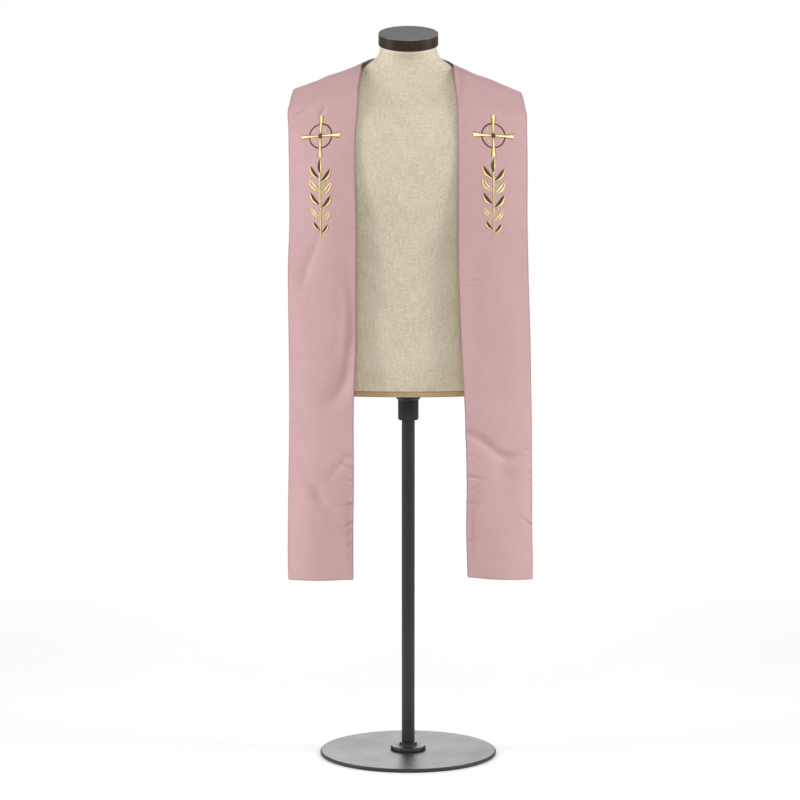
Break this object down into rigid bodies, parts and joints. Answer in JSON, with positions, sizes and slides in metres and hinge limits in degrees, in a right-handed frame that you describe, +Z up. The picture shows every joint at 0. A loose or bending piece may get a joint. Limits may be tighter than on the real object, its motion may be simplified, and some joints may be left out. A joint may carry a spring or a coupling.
{
  "type": "clerical stole on a dress form",
  "caption": "Rose-pink overlay stole with long straight fronts and a mitred centre-back seam, hung over a limbless linen-covered dress form on a pole and round base.",
  "frame": {"origin": "centre of the base plate's underside, on the floor", "axes": "+Z up, the front of the form and of the stole faces -Y, +X to the wearer's left"},
  "size_m": [0.518, 0.38, 1.5645],
  "materials": {
    "rose_cloth": "matte plain weave in dusty rose, with a faint sheen",
    "tan_lining": "smooth tan lining cloth, softly shining",
    "linen_cover": "natural linen stretched over the form",
    "dark_painted_wood": "dark brown painted wood, satin",
    "birch_board": "plain birch plywood, sanded",
    "black_steel": "black powder-coated steel, satin"
  },
  "bodies": {
    "root": {"stole_right": "rose_cloth", "stole_left": "rose_cloth", "lining_right": "tan_lining", "lining_left": "tan_lining", "torso": "linen_cover", "neck_block": "dark_painted_wood", "hip_board": "birch_board", "socket": "black_steel", "pole": "black_steel", "flange": "black_steel", "base_plate": "black_steel"}
  },
  "joints": []
}
